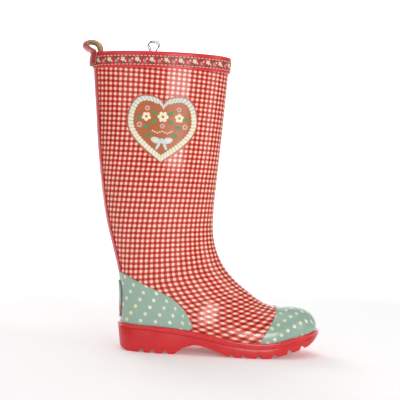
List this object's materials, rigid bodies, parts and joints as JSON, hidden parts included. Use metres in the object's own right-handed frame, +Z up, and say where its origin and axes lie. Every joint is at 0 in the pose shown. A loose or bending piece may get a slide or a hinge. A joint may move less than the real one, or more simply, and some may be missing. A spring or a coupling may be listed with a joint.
{
  "type": "rubber rain boot",
  "caption": "Mid-calf rubber rain boot for the right foot: gingham upper, dotted toe and heel caps, lugged sole, pull loop, loose footbed and a fold-back clip on the rim.",
  "frame": {"origin": "middle of the part's box in X and Y, on the ground under the sole", "axes": "+X from heel to toe, +Y to the medial side of the right foot, +Z up the leg"},
  "size_m": [0.3464, 0.1062, 0.4217],
  "materials": {
    "sole_rubber": "satin moulded",
    "foxing_rubber": "gloss",
    "core_foam": "foamed",
    "shank_steel": "plain",
    "upper_rubber": "clear gloss over woven gingham",
    "filler_cork": "pressed",
    "insole_fibreboard": "fibreboard",
    "stiffener_canvas": "impregnated",
    "lining_knit": "knitted",
    "footbed_foam": "foamed",
    "cover_fabric": "woven",
    "mint_rubber": "gloss with printed dots",
    "badge_rubber": "moulded",
    "red_strip_rubber": "gloss",
    "heart_print": "printed",
    "band_rubber": "gloss",
    "ribbon_fabric": "printed",
    "stitch_thread": "sewn",
    "loop_webbing": "rubber coated",
    "clip_steel": "black enamel",
    "handle_wire": "plated"
  },
  "bodies": {
    "boot": {"outsole": "sole_rubber", "foxing_strip": "foxing_rubber", "heel_core": "core_foam", "shank": "shank_steel", "upper": "upper_rubber", "bottom_filler": "filler_cork", "insole_board": "insole_fibreboard", "toe_puff": "stiffener_canvas", "counter_stiffener": "stiffener_canvas", "vamp_reinforcement": "stiffener_canvas", "lining": "lining_knit", "toe_cap": "mint_rubber", "heel_counter": "mint_rubber", "heel_badge": "badge_rubber", "back_strap": "red_strip_rubber", "heart_patch": "heart_print", "rim_band": "band_rubber", "rim_ribbon": "ribbon_fabric", "stitch_row_top": "stitch_thread", "stitch_row_bottom": "stitch_thread", "pull_loop": "loop_webbing"},
    "footbed": {"footbed": "footbed_foam", "footbed_cover": "cover_fabric"},
    "clip": {"clip_body": "clip_steel"},
    "handle_outer": {"clip_handle_outer": "handle_wire"},
    "handle_inner": {"clip_handle_inner": "handle_wire"}
  },
  "joints": [
    {"name": "footbed_lift", "type": "hinge", "parent": "boot", "child": "footbed", "pos_m": [0.1592, 0, 0.03], "axis": [0, 1, 0], "range_deg": [0, 6]},
    {"name": "clip_slide", "type": "slide", "parent": "boot", "child": "clip", "axis": [0, 0, 1], "range_m": [0, 0.03]},
    {"name": "handle_outer_fold", "type": "hinge", "parent": "clip", "child": "handle_outer", "pos_m": [-0.07586, 0.04938, 0.3877], "axis": [-0.9987, -0.0504, 0], "range_deg": [0, 165]},
    {"name": "handle_inner_fold", "type": "hinge", "parent": "clip", "child": "handle_inner", "pos_m": [-0.07517, 0.03559, 0.3877], "axis": [0.9987, 0.0504, 0], "range_deg": [0, 165]}
  ]
}
